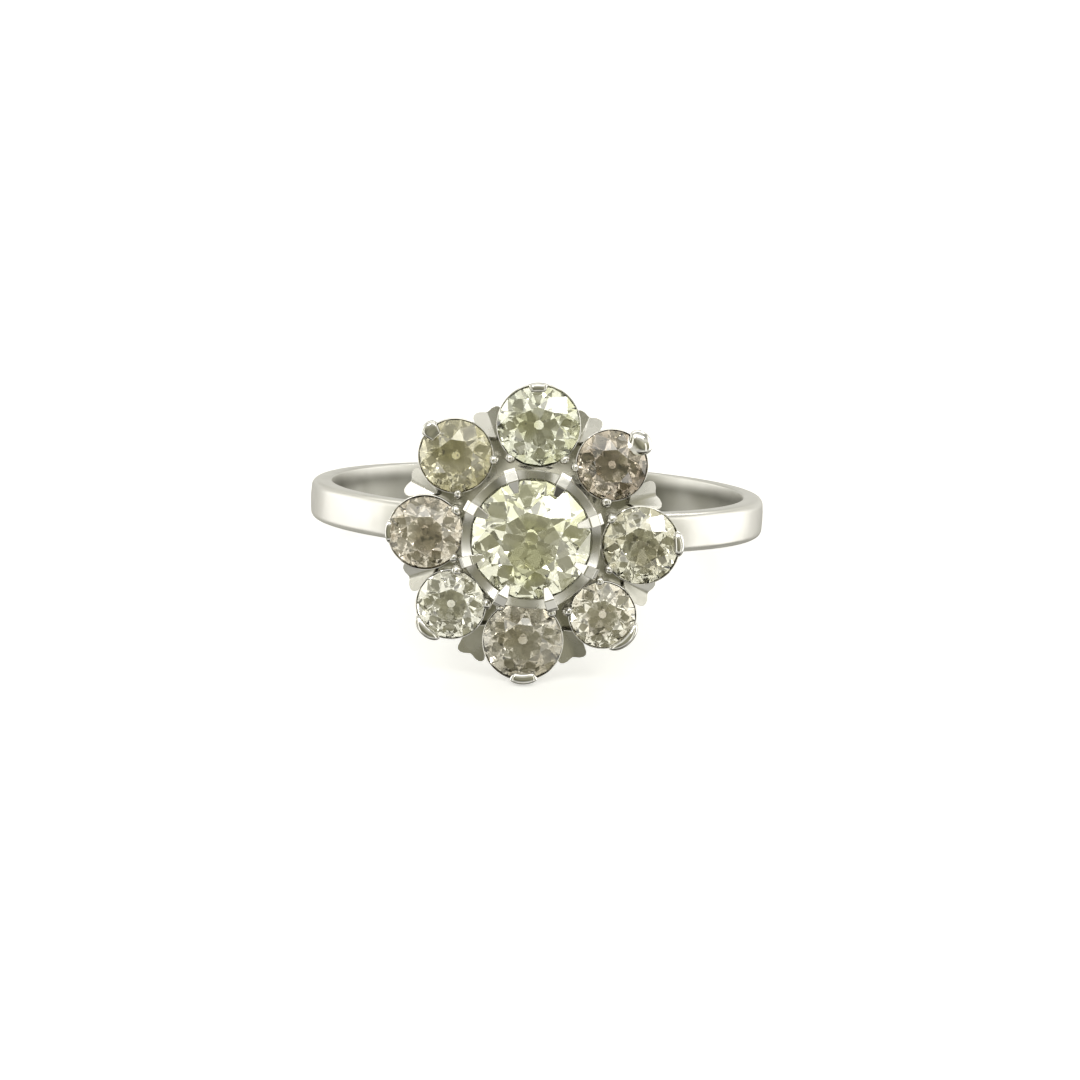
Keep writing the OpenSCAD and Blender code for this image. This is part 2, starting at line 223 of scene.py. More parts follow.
# %% Place a metal piece
ROUNDED_FROM = 30
metal = []


def round_edges(piece, edge, segments):
    """Rounds the piece's edges over a width in millimetres, with a bevel modifier."""
    bevel = piece.modifiers.new("polished edges", "BEVEL")
    bevel.width = edge * MM
    bevel.segments = segments
    bevel.limit_method = "ANGLE"
    bevel.angle_limit = math.radians(ROUNDED_FROM)
    bevel.harden_normals = True
    bevel.use_clamp_overlap = True


def metal_piece(name, bm, matrix, edge=0.0, segments=2, crease=35, finish="bright cut metal"):
    """Lays a solid down as a piece of the mount. edge is how far its edges are rounded."""
    bmesh.ops.recalc_face_normals(bm, faces=bm.faces)
    mesh = bpy.data.meshes.new(name)
    bm.to_mesh(mesh)
    bm.free()
    mesh.transform(matrix)
    mesh.shade_smooth()
    mesh.set_sharp_from_angle(angle=math.radians(crease))
    mesh.materials.append(bpy.data.materials[finish])
    piece = bpy.data.objects.new(name, mesh)
    bpy.context.scene.collection.objects.link(piece)
    if edge:
        round_edges(piece, edge, segments)
    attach(piece, "root")
    metal.append(piece)
    return piece


def tell(what, start):
    """Prints what a step made, with the faces that it has before its edges are rounded."""
    made = [piece for piece in metal if piece.name.startswith(start)]
    print(f"{what}: {len(made)} made, {sum(len(piece.data.polygons) for piece in made)} faces")


print(f"edges are rounded where two faces meet at more than {ROUNDED_FROM} degrees")

# %% [markdown]
# ## The finish of the metal
#
# The mount is a white precious metal, polished and then worn for years. A perfect mirror would look like
# chrome plate, and one even grey would look like plastic. What makes it metal is what happens on top: a
# haze of wear that wanders, hairlines, small soft dents, and painted shade deep in the flower and on the
# wall of the finger hole. All of it is driven by noise and by distances in the ring's own coordinates, so it
# stays put from every side. A small class keeps the node trees short to write.

# %% Nodes and sockets


class Nodes:
    """A short way to write a node tree."""

    def __init__(self, tree):
        self.tree = tree

    def put(self, socket, value):
        """Links an output to the socket, or sets a plain number or colour on the socket itself."""
        if hasattr(value, "is_output"):
            self.tree.links.new(value, socket)
        else:
            socket.default_value = value

    def add(self, kind, inputs, output, **settings):
        """Adds one node, fills its inputs and gives back one of its outputs."""
        node = self.tree.nodes.new("ShaderNode" + kind)
        for key, value in settings.items():
            setattr(node, key, value)
        for key, value in inputs.items():
            self.put(node.inputs[key], value)
        return node.outputs[output]


class Finish(Nodes):
    """A material that is being written. where is each point's place in the ring's own coordinates."""

    def __init__(self, name):
        self.material = bpy.data.materials.new(name)
        self.material.use_nodes = True
        super().__init__(self.material.node_tree)
        self.surface = self.tree.nodes["Principled BSDF"]
        self.where = self.add("TexCoord", {}, "Object")

    def feed(self, socket, value):
        self.put(self.surface.inputs[socket], value)


print("a finish is written with", [word for kind in (Nodes, Finish) for word in vars(kind) if word[0] != "_"])

# %% [markdown]
# Five kinds of node do most of the work. Noise gives patches, a ramp picks out the part of them that
# counts, a mix lays one colour over another, a product lets one mask limit another, and a bump tilts the
# surface without moving it.

# %% Noise, ramps and mixes


def noise(m, vector, scale, detail=2.0, roughness=0.5, distortion=0.0):
    """Soft random patches, 0 to 1. A higher scale makes them smaller."""
    return m.add("TexNoise", {
        "Vector": vector, "Scale": scale, "Detail": detail,
        "Roughness": roughness, "Distortion": distortion,
    }, "Fac")


def ramp(m, value, low, high, to_low=0.0, to_high=1.0, kind="SMOOTHSTEP"):
    """Turns one range of values into another, with soft ends unless it is told otherwise."""
    return m.add("MapRange", {
        "Value": value, "From Min": low, "From Max": high, "To Min": to_low, "To Max": to_high,
    }, "Result", interpolation_type=kind)


def mixed(m, share, first, second):
    """All of the first colour at a share of 0, all of the second at 1."""
    return m.add("Mix", {0: share, 6: first, 7: second}, 2, data_type="RGBA")


def product(m, first, second):
    """One mask limited by another."""
    return m.add("Math", {0: first, 1: second}, 0, operation="MULTIPLY")


def bump(m, height, strength, distance, under=None):
    """Tilts the surface by a height in metres. under is a bump that lies below this one."""
    inputs = {"Height": height, "Strength": strength, "Distance": distance}
    if under is not None:
        inputs["Normal"] = under
    return m.add("Bump", inputs, "Normal")


print("node helpers:", [helper.__name__ for helper in (noise, ramp, mixed, product, bump)])

# %% [markdown]
# Painted shade lies deep in the flower, where the parts shade each other. The mask for it turns each point
# into the head's coordinates and asks two things: how low it lies, and how near the head's axis. A baked
# occlusion map could do the same, but two distances are exact and need no image. The band right under the
# centre stone is left out of the painted shade, because light falls on it through the open culet, and the
# rear of the shank is left out too.

# %% Where the painted shade lies
# Heights and distances that bound the painted shade deep in the flower, and the spot under the culet left
# without it
deep_shade_high, deep_shade_low = 11.0 * MM, 9.9 * MM
deep_shade_full, deep_shade_from = 7.0 * MM, 5.0 * MM
deep_shade_wide, deep_shade_narrow = 4.9 * MM, 3.9 * MM
deep_shade_off, deep_shade_on = 1.0 * MM, 1.9 * MM


def turned_about_x(m, angle):
    """Each point's place after a turn about the X axis, to stand the lying ring up."""
    return m.add("VectorRotate", {"Vector": m.where, "Angle": angle}, "Vector", rotation_type="X_AXIS")


def height_of(m, vector):
    """The Z part of a place."""
    return m.add("SeparateXYZ", {"Vector": vector}, "Z")


def away_from_z(m, vector):
    """Distance from the Z axis, whatever the height."""
    flat = m.add("VectorMath", {0: vector, 1: (1, 1, 0)}, 0, operation="MULTIPLY")
    return m.add("VectorMath", {0: flat}, "Value", operation="LENGTH")


def deep_shade(m):
    """How much painted shade a point gets, 0 to 1: low in the flower and near the head's axis."""
    to_head = turned_about_x(m, lean - TAU / 4)
    height = height_of(m, to_head)
    away = away_from_z(m, to_head)
    deep = product(m, ramp(m, height, deep_shade_low, deep_shade_high, 1.0, 0.0), ramp(m, height, deep_shade_from, deep_shade_full))
    inside = ramp(m, away, deep_shade_narrow, deep_shade_wide, 1.0, 0.0)
    # Under the culet the painted shade is left off, because light falls there through the stone
    off_middle = ramp(m, away, deep_shade_off, deep_shade_on)
    return product(m, product(m, deep, inside), off_middle)


# Prints the limits of the painted shade deep in the flower
print(f"dirt: below {deep_shade_high / MM:.1f} mm, and within {deep_shade_wide / MM:.1f} mm of the head's axis")

# %% [markdown]
# The wall of the finger hole gets painted shade: its colour is darkened to the dark that it would mirror
# from the back of the head. It is the only surface that lies within a hair of the finger's radius, so again
# a distance finds it. Along its upper rim most of the painted shade is left off, as a painted highlight.

# %% Painted shade on the wall of the finger hole
# Where the painted shade on the finger hole's wall lies, and how much of it is left along the rim as a
# painted highlight
wall_near, wall_far = (finger_r + 0.02) * MM, (finger_r + 0.10) * MM
rim_from, rim_full = 0.15 * MM, 0.68 * MM
RIM_SHADE_LEFT = 0.15
BLOTCH_SCALE = 260
BLOTCH_LEAST = 0.75


def inner_wall_shade(m):
    """How much painted shade lies on the wall of the finger hole: most in blotches along its middle, least
    along its rim.
    """
    upright = turned_about_x(m, lean)
    on_wall = ramp(m, away_from_z(m, upright), wall_near, wall_far, 1.0, 0.0)
    # The upper rim keeps little of the painted shade, as a painted highlight
    shade_below_rim = ramp(m, height_of(m, upright), rim_from, rim_full, 1.0, RIM_SHADE_LEFT)
    blotches = ramp(m, noise(m, m.where, BLOTCH_SCALE), 0.35, 0.65, BLOTCH_LEAST, 1.0)
    return product(m, product(m, on_wall, shade_below_rim), blotches)


# Prints where the painted shade on the finger hole's wall ends
print(f"dull wall: up to {wall_far / MM:.2f} mm from the finger's axis")

# %% [markdown]
# Three finishes share one recipe. The cups and claws are bright: the graver leaves mirror flats, and their
# colour is a lighter copy of the same metal's, as a painted highlight.
# The gallery ring, the collet, the ribs and the webs were filed and only brushed, so their shine is soft.
# The shank and its shoulders have been rubbed by neighbouring fingers, so their shine is softer still.
# Hairlines are stretched noise, and dents are a coarser noise below them.

# %% White metal
# A lighter copy of the same metal's colour, as a painted highlight that keeps the cups and claws white
METAL_LIT = (0.92, 0.91, 0.88, 1)
METAL_PALE = (0.80, 0.79, 0.755, 1)
METAL_DULL = (0.62, 0.61, 0.56, 1)
# The colour of the painted shade deep in the flower
METAL_IN_SHADE = (0.31, 0.30, 0.225, 1)
# The colour of the painted shade on the wall of the finger hole
METAL_SHADED_INSIDE = (0.19, 0.187, 0.155, 1)
WEAR_SCALE = 420
HAZE_SCALE = 900
DENT_SCALE = 1300
HAIR_SCALES = (700, 5200, 6600)
DENT_DEPTH = 0.00002
HAIR_DEPTH = 0.000004


def white_metal(name, pale, rough, hair, dent, shade_inside=False):
    """rough: least and most roughness; hair and dent: how much hairlines and dents tilt the surface; the last
    flag adds painted shade on the wall of the finger hole.
    """
    m = Finish(name)
    colour = mixed(m, ramp(m, noise(m, m.where, WEAR_SCALE, detail=3), 0.45, 0.85), pale, METAL_DULL)
    # Painted shade deep in the flower, where the parts shade each other
    colour = mixed(m, deep_shade(m), colour, METAL_IN_SHADE)
    # Painted shade on the wall of the finger hole, lifted along its rim as a painted highlight
    if shade_inside:
        colour = mixed(m, inner_wall_shade(m), colour, METAL_SHADED_INSIDE)
    haze = noise(m, m.where, HAZE_SCALE, detail=4, roughness=0.6)
    dents = bump(m, noise(m, m.where, DENT_SCALE), dent, DENT_DEPTH)
    along = m.add("Mapping", {"Vector": m.where, "Scale": HAIR_SCALES}, "Vector")
    m.feed("Metallic", 1.0)
    m.feed("Base Color", colour)
    m.feed("Roughness", ramp(m, haze, 0.3, 0.75, *rough))
    m.feed("Normal", bump(m, noise(m, along, 1.0), hair, HAIR_DEPTH, under=dents))
    print(f"{name}: roughness {rough[0]} to {rough[1]}, {len(m.tree.nodes)} nodes")


# The cups and claws get the lighter colour, a painted highlight, on top of their mirror flats
white_metal("bright cut metal", METAL_LIT, rough=(0.04, 0.12), hair=0.012, dent=0.10)
white_metal("soft cut metal", METAL_PALE, rough=(0.20, 0.34), hair=0.012, dent=0.05)
white_metal("worn metal", METAL_PALE, rough=(0.28, 0.36), hair=0.015, dent=0.008, shade_inside=True)

# %% [markdown]
# ## The shank
#
# The shank is the hoop round the finger. A bench jeweller bends it from flat wire with well rounded outer
# edges, a touch wider at the shoulders where it meets the head. A torus has no flat sides, so the section is
# drawn from arcs and turned. Three small helpers come first: points along an arc, a soft step for what
# changes gradually, and a value at a share of the way between two others.

# %% Arcs and soft steps


def arc(cx, cy, radius, start, end, steps):
    """Points along an arc, from a start to an end in degrees."""
    turns = [math.radians(start + (end - start) * i / steps) for i in range(steps + 1)]
    return [(cx + radius * math.cos(a), cy + radius * math.sin(a)) for a in turns]


def smooth(t):
    """0 to 1 with soft ends."""
    t = min(1.0, max(0.0, t))
    return t * t * (3 - 2 * t)


def between(low, high, share):
    """The value at a share of the way from low to high."""
    return low + (high - low) * share


print("soft steps at 0, 1/4, 1/2, 3/4 and 1:", [round(smooth(i / 4), 2) for i in range(5)])

# %% Shank
band_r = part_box("ring_mount")[1].x / MM
band_w = 1.6
band_edge = 0.3
band_bevel = 0.08
band_crown = 0.02
band_flat = 0.25
shoulder_w = 1.65
shoulder_keen = 0.08
shoulder_from = math.radians(47)
shoulder_to = math.radians(21)
front = -TAU / 4


def shank_section(a):
    """The shank's section at an angle, from its upper edge round the outside to the finger's side."""
    off = abs((a - front + math.pi) % TAU - math.pi)
    widen = smooth((shoulder_from - off) / (shoulder_from - shoulder_to))
    half = between(band_w, shoulder_w, widen) / 2
    edge = band_edge - shoulder_keen * widen
    bend_r = band_r - band_crown - edge
    outside = arc(bend_r, half - edge, edge, 90, 0, 7)
    outside += [(band_r, half * band_flat), (band_r, -half * band_flat)]
    outside += arc(bend_r, edge - half, edge, 0, -90, 7)
    inside = arc(finger_r + band_bevel, band_bevel - half, band_bevel, -90, -180, 3)
    inside += arc(finger_r + band_bevel, half - band_bevel, band_bevel, 180, 90, 3)
    return outside + inside


shank = metal_piece("shank", turned(shank_section, 288), RING, crease=50, finish="worn metal")
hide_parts("ring_mount")
print(f"shank: {band_r - finger_r:.2f} mm thick, {band_w} mm wide, {len(shank.data.polygons)} faces")

# %% [markdown]
# ## The gallery ring
#
# Under the flower runs a plain ring of flat wire that carries all the cups. Its underside is filed to the
# finger's curve, which shows from the side: it dips beside the shoulders and lifts in between. That curve
# is a cylinder of the finger's radius and a little clearance. A boolean could cut it from a plain ring. A
# turned section can follow it by itself, and its faces stay in even rows.

# %% Gallery ring
# The circle that the outer stones are laid out on
flower_r = 4.355
head_relief = 0.12
gallery_h = 0.62
gallery_t = 0.6
gallery_r = flower_r - gallery_t
gallery_low = finger_r - gallery_h / 2
gallery_top = gallery_low + 1.3 * gallery_h
gallery_flare = 0.13 * gallery_h


def relief(x):
    """Height of the filed curve over the finger, at a distance across the head."""
    return math.sqrt((finger_r + head_relief) ** 2 - x * x)


def gallery_section(a):
    """The wire's section: filed below, and leaning outwards a little to its top."""
    inner_r, outer_r = gallery_r - gallery_t / 2, gallery_r + gallery_t / 2
    return [
        (inner_r, max(gallery_low, relief(inner_r * math.cos(a)))),
        (outer_r, max(gallery_low, relief(outer_r * math.cos(a)))),
        (outer_r + gallery_flare, gallery_top),
        (inner_r + gallery_flare, gallery_top),
    ]


gallery = turned(gallery_section, 160)
metal_piece("gallery_ring", gallery, HEAD, edge=0.07, segments=3, finish="soft cut metal")
print(f"gallery ring: {2 * gallery_r + gallery_t:.2f} mm across, its top {gallery_top:.2f} mm above the axis")

# %% [markdown]
# ## The shoulders
#
# On each side a shoulder carries the head: a wedge between the shank and the gallery ring, filed so that
# the shank seems to widen and rise into the flower. It could be a stretched block with a modifier to
# taper it. A row of arched sections does the same and keeps its inner side on the finger's curve.

# %% Shoulders
shoulder_run = 3.2
shoulder_sink = 0.06
shoulder_clear = 0.02
shoulder_soft = 0.22
shoulder_in = gallery_r - gallery_t
shoulder_out = gallery_r + shoulder_run
shoulder_steps = 12


def shoulder(side):
    """One shoulder, as a row of arched sections from under the head out along the shank."""
    high_in = gallery_top - 2 * shoulder_sink
    high_out = math.sqrt(band_r ** 2 - shoulder_out ** 2) - shoulder_sink
    soft = shoulder_soft
    loops = []
    for i in range(shoulder_steps + 1):
        share = i / shoulder_steps
        x = between(shoulder_in, shoulder_out, share)
        low = math.sqrt((finger_r + shoulder_clear) ** 2 - x ** 2)
        high = between(high_in, high_out, share)
        half = between(shoulder_w, band_w - 2 * band_edge, share) / 2
        over = arc(half - soft, high - soft, soft, 0, 90, 4) + arc(soft - half, high - soft, soft, 90, 180, 4)
        loops.append([(side * x, -y, z) for z, y in [(half, low)] + over + [(-half, low)]])
    return filed(loops)


for side, word in ((-1, "left"), (1, "right")):
    metal_piece("shoulder_" + word, shoulder(side), RING, crease=50, finish="worn metal")
tell(f"shoulders, {shoulder_in:.2f} to {shoulder_out:.2f} mm beside the middle", "shoulder_")

# %% [markdown]
# ## The centre collet
#
# The raised cup of the centre stone is a cone whose rim is cut back in round bites between the claws. A
# setter cuts them with a round file held like the spoke of a wheel. The rim's height at any point is then
# the lower edge of that file, so the section is worked out from the file's radius instead of cutting with
# a boolean, which would leave long thin faces that don't polish well.

# %% Round bites between the claws
around_centre = 0.5
collet_sink = 0.255
collet_rise = 0.72 * around_centre
collet_top_r = centre.r + 1.1 * around_centre
collet_low_r = 0.66 * collet_top_r
collet_low = band_r - collet_sink
collet_high = centre.z + collet_rise
claw_turn = math.radians(-3)
pitch = TAU / len(outer)
claw_place = pitch / 2 + claw_turn
file_rise = 0.95 * centre.r
file_in = 1.0 * centre.r
file_out = 0.96 * centre.r
file_run = 2.6 * around_centre


def collet_r(z):
    """Outer radius of the cone at a height."""
    return collet_low_r + (collet_top_r - collet_low_r) * (z - collet_low) / (collet_high - collet_low)


def rim_z(r, a, top):
    """Height of the bitten rim at a radius and an angle, under a given uncut height."""
    off = (a - claw_place) % pitch - pitch / 2
    along = r * math.cos(off) - (centre.r - around_centre)
    side = r * math.sin(off)
    file_r = file_in + (file_out - file_in) * along / file_run
    if abs(side) >= file_r:
        return top
    return min(top, centre.z + file_rise - math.sqrt(file_r ** 2 - side ** 2))


under_claw = rim_z(collet_top_r, claw_place, collet_high)
in_bite = rim_z(collet_top_r, claw_place + pitch / 2, collet_high)
print(f"rim of the collet: {under_claw:.2f} mm high at a claw, {in_bite:.2f} mm in a bite")

# %% [markdown]
# The collet's section goes up the outside, over the bitten rim and down through the stone's seat. The rim
# slopes down a little towards the stone, so that no wall hides the stone's edge.

# %% Centre collet
collet_t = 0.4
collet_edge = 0.05
collet_round = 0.02
rim_slope = 0.14
rim_steps = 7


def collet_section(a):
    """The collet's section at an angle: outside, rim and inside."""
    top = rim_z(collet_top_r - collet_edge, a, collet_high)
    under_top = top - collet_edge
    hip = collet_low + 0.7 * (top - collet_low)
    outside = [
        (collet_low_r, collet_low),
        (collet_r(hip), hip),
        (collet_r(under_top), under_top),
        (collet_r(under_top) - collet_round, top - collet_edge * 0.3),
    ]
    rim = []
    for i in range(rim_steps + 1):
        width = centre.seat_r + collet_round - collet_r(top) + collet_edge
        r = collet_r(top) - collet_edge + width * i / rim_steps
        rim.append((r, rim_z(r, a, collet_high - rim_slope * i / rim_steps)))
    lowest = min(rim[-1][1], centre.z - SEAT_HALF)
    inside = [
        (centre.seat_r - 0.08, lowest - 0.1),
        (centre.seat_r - 0.35, lowest - 0.35),
        (collet_low_r - collet_t, collet_low),
    ]
    return outside + rim + inside


collet = turned(collet_section, 32 * len(outer))
metal_piece("centre_collet", collet, HEAD, crease=40, finish="soft cut metal")
tell(f"centre collet, {2 * collet_top_r:.2f} mm across", "centre_collet")

# %% [markdown]
# ## The claws of the centre stone
#
# Each claw is a flat bar soldered up the collet's wall. Its head is filed in two flats: one nearly level on
# top, and one that slopes down over the stone's edge to a blunt tip. Those flats catch the light one by
# one, so they have to stay flat. Bending a bar with a modifier would round them, so the claw is modelled as
# its two sides with straight faces between them, and only its edges are rounded. No two claws on a
# hand-made ring are alike, so width, length and turn vary a little, from one seeded draw that gives the
# same ring every time.

# %% Centre claws
claw_w = 0.5
claw_reach = 0.42
claw_rise = 0.64
claw_root = 1.25 * claw_rise
claw_proud = 0.08 * claw_w
claw_tip_t = 0.07
draw = random.Random(8)


def claw(width, length, rise):
    """One claw, upright on the +X side of the collet. Heights are above the girdle."""
    tip_r = centre.r - length
    tip_z = centre.crown_z(tip_r)
    # Columns: radius, height, half width as a share of the whole
    side = [
        (centre.seat_r, -claw_root, 0.5),
        (collet_r(centre.z - claw_root) + claw_proud, -claw_root, 0.5),
        (collet_top_r + claw_proud, rise * 0.47, 0.5),
        (collet_top_r - 2 * claw_proud, rise * 0.81, 0.48),
        (centre.r + 2 * claw_proud, rise, 0.47),
        (tip_r, max(rise * 0.5, tip_z + claw_tip_t), 0.2),
        (tip_r, tip_z, 0.2),
        (centre.seat_r, SEAT_HALF, 0.5),
    ]
    return filed([
        [(r, width * share, z) for r, z, share in side],
        [(r, -width * share, z) for r, z, share in side],
    ])


for i in range(len(outer)):
    width = claw_w * draw.uniform(0.94, 1.08)
    length = claw_reach * draw.uniform(0.9, 1.12)
    rise = claw_rise * draw.uniform(0.96, 1.05)
    turn = claw_place + i * pitch + math.radians(draw.uniform(-1.2, 1.2))
    place = HEAD @ Matrix.Translation((0, 0, centre.z)) @ Matrix.Rotation(turn, 4, "Z")
    metal_piece(f"centre_claw_{i + 1}", claw(width, length, rise), place, edge=0.045, segments=3)
tell("centre claws", "centre_claw_")

# %% [markdown]
# ## The outer cups
#
# Each outer stone sits in a thin cone of its own, raised from sheet. The stone fills it, so from the front
# only the lip shows as a fine line. Blender's own cone would do for the wall, but the lip is never quite
# even after setting. A turned section lets its height wander a little round the stone.

# %% Outer cups
cup_t = 0.22
cup_lip = 0.06
cup_edge = -1.8 * cup_lip
cup_low = gallery_top - cup_t
# Height of a wave in the lip, and how many times it goes up and down round the stone
lip_waves = [(0.02, 3), (0.015, 7)]


def cup_section(stone, a):
    """A cup's section at an angle, from its foot up the outside, over the lip and down to the foot."""
    g = stone.r
    lip_r = g + cup_lip
    low = cup_low - stone.z
    (slow, slow_turns), (quick, quick_turns) = lip_waves
    wave = slow * math.sin(slow_turns * a + stone.x) + quick * math.sin(quick_turns * a + stone.y)
    return [
        # The foot, on the gallery ring
        (g * 0.5 - cup_t, low),
        (g * 0.5, low),
        # The outside, up to the underside of the lip
        (g * 0.78 + cup_lip * 0.6, low * 0.5 + cup_edge * 0.5),
        (lip_r - 0.015, cup_edge - 0.03),
        (lip_r, cup_edge + 0.02),
        # The lip, which wanders with the wave
        (lip_r, cup_lip * 0.3 + wave),
        (g + cup_lip * 0.8, cup_lip * 0.7 + wave),
        (g + cup_lip * 0.5, cup_lip * 0.8 + wave),
        (stone.seat_r, cup_lip * 0.5 + wave),
        # The seat and the inside of the cone
        (stone.seat_r, -SEAT_HALF),
        (g * 0.86, -SEAT_HALF - 0.2),
        (g * 0.62, -SEAT_HALF - 0.62),
    ]


for stone in outer:
    name = stone.node.replace("stone_", "cup_")
    metal_piece(name, turned(lambda a: cup_section(stone, a), 72), stone.matrix(), crease=40)
tell("cups", "cup_")

# %% [markdown]
# ## Crescent claws
#
# At the flower's edge each cup has one broad claw, bent over the stone and filed to a half-moon: nearly
# straight along the stone, round outside. No two are alike. Some only graze the stone, one is left thick
# and round, and one is a square nub. A short table states how each one differs.

# %% How the crescents differ
# Columns: stone, degrees off the outward line, shares of full width, thickness and reach,
# bluntness of the ends, how round the top is
HOOKS = [
    ("stone_top", 4, 0.72, 0.35, 1.0, 6, 0.1),
    ("stone_upper_right", -3, 0.95, 3.8, 1.5, 2.8, 1.0),
    ("stone_right", 8, 0.95, 1.5, 0.8, 3, 0.5),
    ("stone_lower_right", 2, 1.35, 2.0, 0.5, 2.5, 0.6),
    ("stone_bottom", 6, 1.05, 1.1, 1.0, 7, 0.1),
    ("stone_lower_left", 5, 1.15, 2.3, 0.4, 2.2, 0.2),
    ("stone_left", 0, 0.85, 0.8, 0.45, 4, 0.3),
    ("stone_upper_left", 0, 0.66, 2.4, 1.3, 10, 0.1),
]
widest = max(HOOKS, key=lambda row: row[2])
thickest = max(HOOKS, key=lambda row: row[3])
print("widest crescent:", widest[0], "and thickest:", thickest[0])

# %% [markdown]
# Each crescent is a turned strip along the stone's edge. Its section is a wall up the cup and an arched top
# that reaches over the stone, and both shrink towards the strip's two ends. Bending a bar with a modifier
# would keep its section, but a filed claw runs out to nothing.

# %% Section of a crescent
hook_t = 0.11
hook_reach = 0.28
hook_rise = 0.38
hook_root = 0.5
hook_clear = 0.03
# Share of its height and of its root that is left at a crescent's ends
end_share = 0.45


def arched_top(stone, tip, out, rise, roundness):
    """Points over the claw, from its outside to its tip, always clear of the stone's crown."""
    power = between(0.35, 1, roundness)
    points = []
    for k in range(9):
        a = math.pi * k / 8
        x = (out + tip) / 2 + (out - tip) / 2 * math.copysign(abs(math.cos(a)) ** power, math.cos(a))
        arched = rise * between(0.15, 1, math.sin(a) ** power)
        points.append((x, max(stone.crown_z(x) + hook_clear, arched)))
    return points


def hook_section(stone, thick, over, full, half_moon, roundness):
    """full and half_moon shrink the part over the stone and the part outside towards the ends."""
    out = stone.r + cup_lip * 0.95 + hook_t * thick * half_moon
    tip = stone.r - hook_reach * over * full
    rise = hook_rise * between(end_share, 1, full)
    root = -hook_root * between(end_share, 1, half_moon)
    return [
        (stone.r - cup_lip, root),
        (stone.r + cup_lip * 0.6, root),
        (out - 0.05, -rise * 0.45),
        (out, -0.02),
    ] + arched_top(stone, tip, out, rise, roundness) + [
        (tip + 0.01, stone.crown_z(tip)),
        (stone.seat_r - 0.02, SEAT_HALF + 0.02),
        (stone.seat_r, -SEAT_HALF),
    ]


print("corners of a crescent's section:", len(hook_section(outer[0], 1, 1, 1, 1, 0.5)))

# %% Crescent claws
hook_w = 1.05
# The ends shrink to this at least, so that no face closes up
ends_least = 0.03


def hook(stone, offset, share, thick, over, blunt, roundness):
    """One crescent, from end to end along the stone's edge."""
    sweep = 2 * math.asin(min(0.9, hook_w * share / 2 / stone.r))

    def section(a):
        off = min(1.0, 2 * abs(a - offset) / sweep)
        full = max(ends_least, 1 - off ** blunt) ** 0.5
        half_moon = max(ends_least, 1 - off ** 2) ** 0.5
        return hook_section(stone, thick, over, full, half_moon, roundness)

    return turned(section, 30, offset - sweep / 2, offset + sweep / 2)


by_node = {stone.node: stone for stone in outer}
for node, offset, *shape in HOOKS:
    piece = hook(by_node[node], math.radians(offset), *shape)
    metal_piece(node.replace("stone_", "crescent_"), piece, by_node[node].matrix(), crease=38)
tell("crescent claws", "crescent_")

# %% [markdown]
# ## Bead claws
#
# In the inner corners, each stone is held by two small round-headed claws. The head is a bead that a
# hollow punch rolls from the end of the wire. A perfect ball would look like a bearing, not like handwork,
# so each claw is one strip of loops up the cup's wall that swells into a bead, leans over the stone and is
# squashed a little, each by its own amount.

# %% Head of a bead claw
bead_d = 0.42
bead_rise = bead_d / 2 * 1.1
bead_rows = 8


def bead_head(x, r, squash, lean_in):
    """Rows of the bead, from its neck over its widest line to its top."""
    rows = []
    for k in range(bead_rows):
        a = math.radians(-38 + 126 * k / (bead_rows - 1))
        up, round_r = math.sin(a), math.cos(a)
        rows.append((
            x - lean_in * up, bead_rise * 1.05 + 0.85 * r * up, r * squash * round_r, r / squash * round_r
        ))
    return rows


neck, top = bead_head(0, bead_d / 2, 1, 0)[0], bead_head(0, bead_d / 2, 1, 0)[-1]
print(f"a round bead of {bead_d} mm goes from {neck[1]:.2f} to {top[1]:.2f} mm above the girdle")

# %% Bead claws
bead_turn = math.radians(40)
bead_corners = 16


def bead_claw(stone, size, squash, lean_in):
    """One claw: four rows of wire up the cup's wall, and the bead's own rows on top of them."""
    g = stone.r
    r = bead_d / 2 * size
    cup_foot = cup_low - stone.z
    low = cup_foot * 0.75
    foot = g * 0.5 + (g * 0.5 + cup_lip) * (low - cup_foot) / (cup_edge - cup_foot)
    head_x = g + 0.45 * r
    # Columns: distance from the stone's middle, height, half width, half depth
    wire = [
        (foot, low, 0.10, 0.07),
        (g * 0.86 + 0.02, low * 0.35, 0.12, 0.1),
        (g + 0.11, -0.14, 0.13, 0.11),
        (head_x, bead_rise * 0.25, 0.68 * r, 0.62 * r),
    ]
    turns = [TAU * k / bead_corners for k in range(bead_corners)]
    return filed([
        [(x + deep * math.cos(a), wide * math.sin(a), z) for a in turns]
        for x, z, wide, deep in wire + bead_head(head_x, r, squash, lean_in)
    ])


draw = random.Random(3)
for stone in outer:
    for side, word in ((-1, "a"), (1, "b")):
        turn = side * (math.pi - bead_turn + math.radians(draw.uniform(-3, 3)))
        name = stone.node.replace("stone_", "bead_claw_") + "_" + word
        place = stone.matrix() @ Matrix.Rotation(turn, 4, "Z")
        bead = bead_claw(stone, draw.uniform(0.86, 1.1), draw.uniform(0.92, 1.15), draw.uniform(0.0, 0.08))
        metal_piece(name, bead, place, crease=60)
tell("bead claws", "bead_claw_")

# %% [markdown]
# ## The gaps of the flower
#
# Between each two outer stones there is a gap, and the next two kinds of piece are filed to fit it. So each
# gap is measured once: where its middle line points, where along that line the two stones come nearest,
# and how far to each side their cups' walls lie.

# %% Measure the gaps
# How far the pieces in a gap reach into the two walls beside them
wall_seam = 0.02


